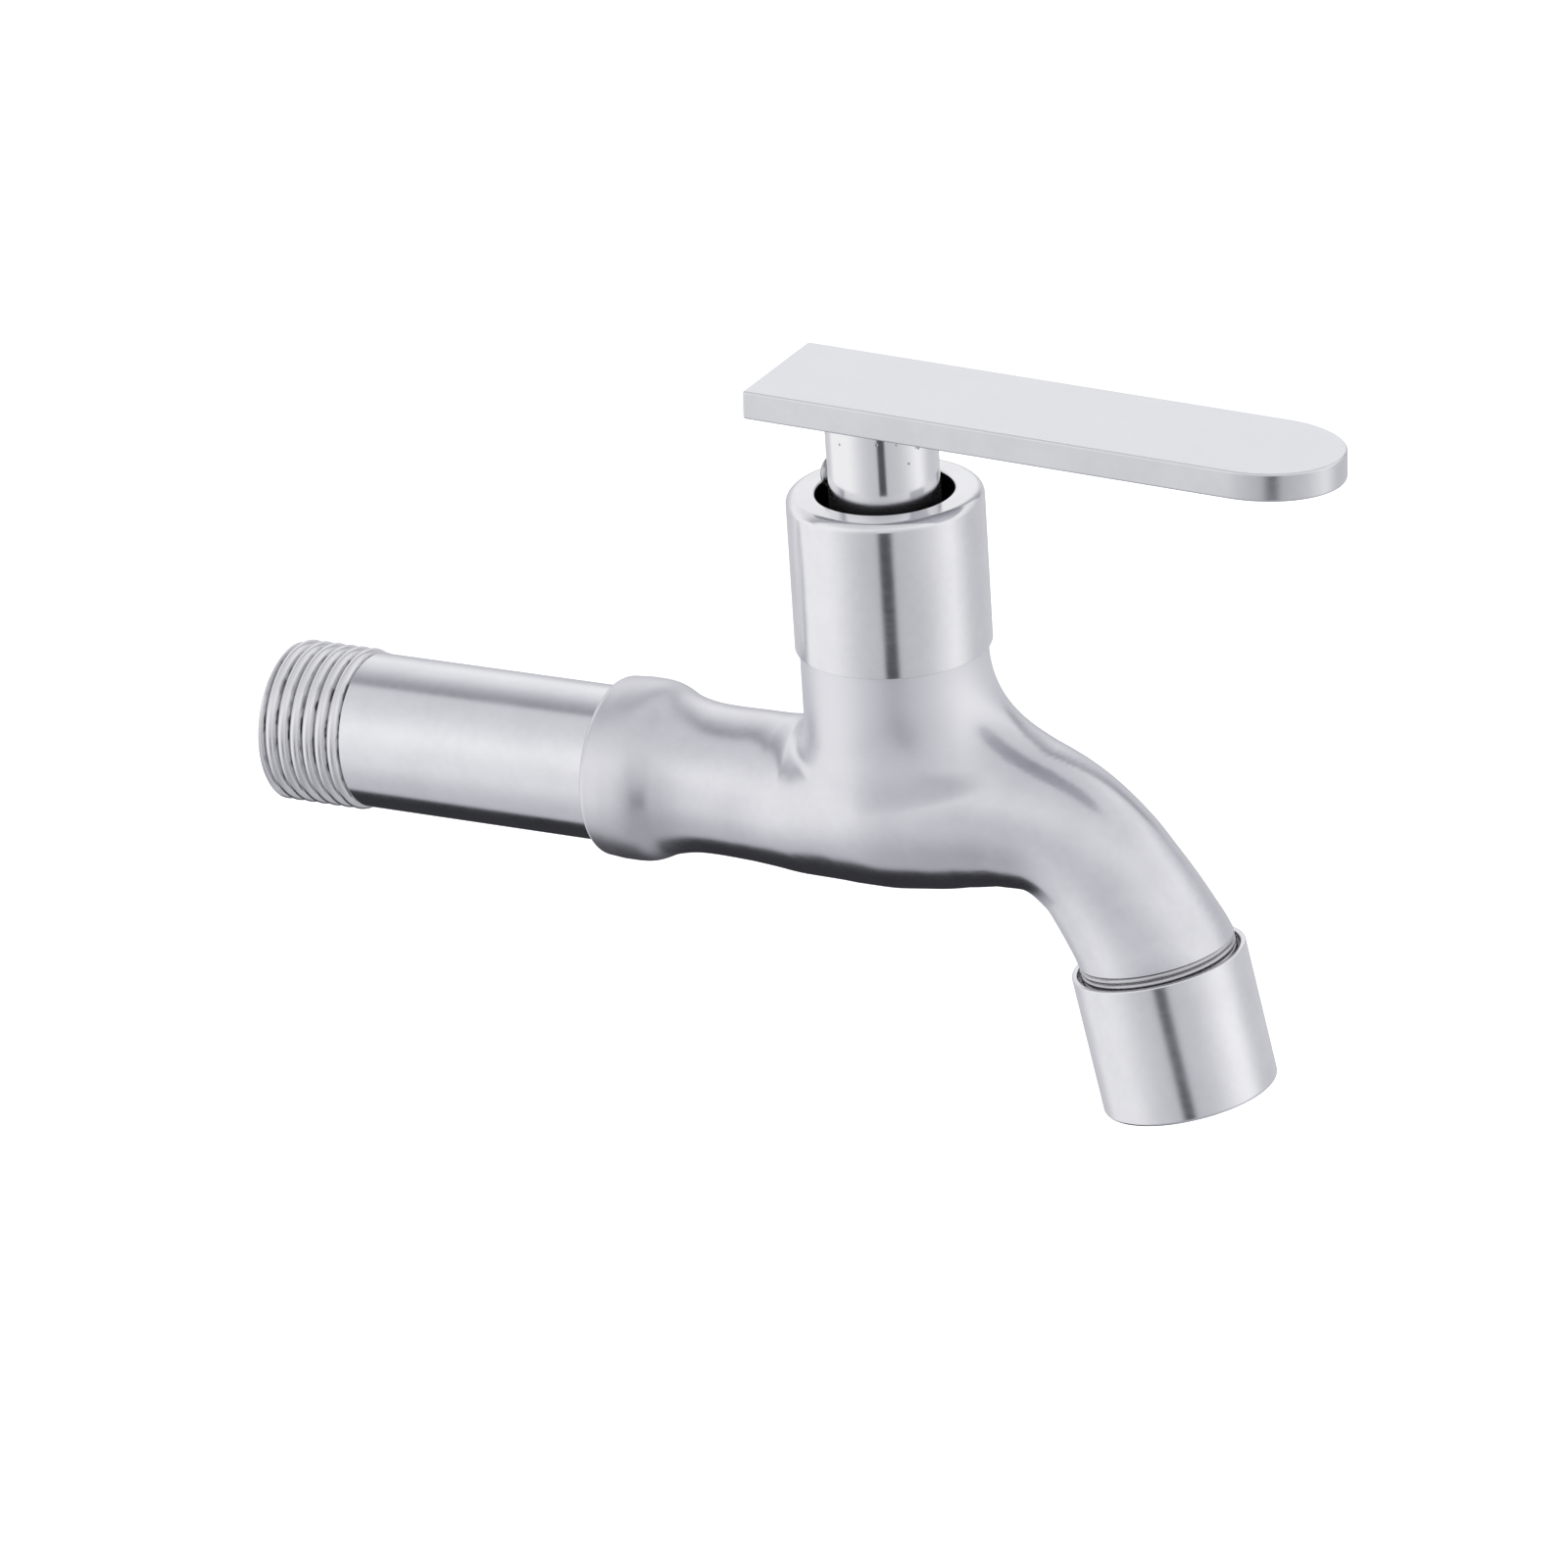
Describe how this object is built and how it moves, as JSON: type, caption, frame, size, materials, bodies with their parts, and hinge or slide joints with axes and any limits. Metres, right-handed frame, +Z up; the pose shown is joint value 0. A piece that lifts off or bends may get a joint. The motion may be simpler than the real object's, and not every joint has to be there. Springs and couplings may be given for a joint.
{
  "type": "wall-mounted bib tap",
  "caption": "Long-reach wall-mounted bib tap in satin stainless steel, with a quarter-turn flat lever, a threaded inlet and a screwed nozzle.",
  "frame": {"origin": "on the inlet pipe's axis, at the end face of its thread, which screws into the wall fitting", "axes": "+X along the inlet pipe from the wall towards the spout, +Z up, +Y completes the right-handed frame; the shut lever lies over the spout in the XZ plane"},
  "size_m": [0.1503, 0.0248, 0.0934],
  "materials": {
    "brushed_pipe": "satin",
    "cast_satin": "satin",
    "turned_sleeve": "satin",
    "turned_nozzle": "satin",
    "polished_hub": "polished",
    "satin_lever": "matte",
    "screw_steel": "satin",
    "headwork_brass": "satin",
    "spindle_brass": "satin",
    "black_rubber": "matte",
    "white_plastic": "satin",
    "disc_ceramic": "polished",
    "spring_steel": "satin",
    "screen_steel": "satin"
  },
  "bodies": {
    "tap": {"inlet_pipe": "brushed_pipe", "tap_body": "cast_satin", "bonnet_sleeve": "turned_sleeve", "headwork_body": "headwork_brass", "headwork_o_ring": "black_rubber", "seat_seal": "black_rubber", "seat_seal_ring": "white_plastic", "fixed_ceramic_disc": "disc_ceramic", "nozzle_sleeve": "turned_nozzle", "aerator_washer": "black_rubber", "aerator_housing": "white_plastic", "flow_straightener": "white_plastic", "aerator_screen_upper": "screen_steel", "aerator_screen_lower": "screen_steel"},
    "handle": {"lever_plate": "satin_lever", "lever_hub": "polished_hub", "grub_screw": "screw_steel", "spindle": "spindle_brass", "spindle_o_rings": "black_rubber", "thrust_washer": "white_plastic", "circlip": "spring_steel", "moving_ceramic_disc": "disc_ceramic"}
  },
  "joints": [
    {"name": "handle_turn", "type": "hinge", "parent": "tap", "child": "handle", "pos_m": [0.088, 0, 0.0428], "axis": [0, 0, 1], "range_deg": [0, 90]}
  ]
}
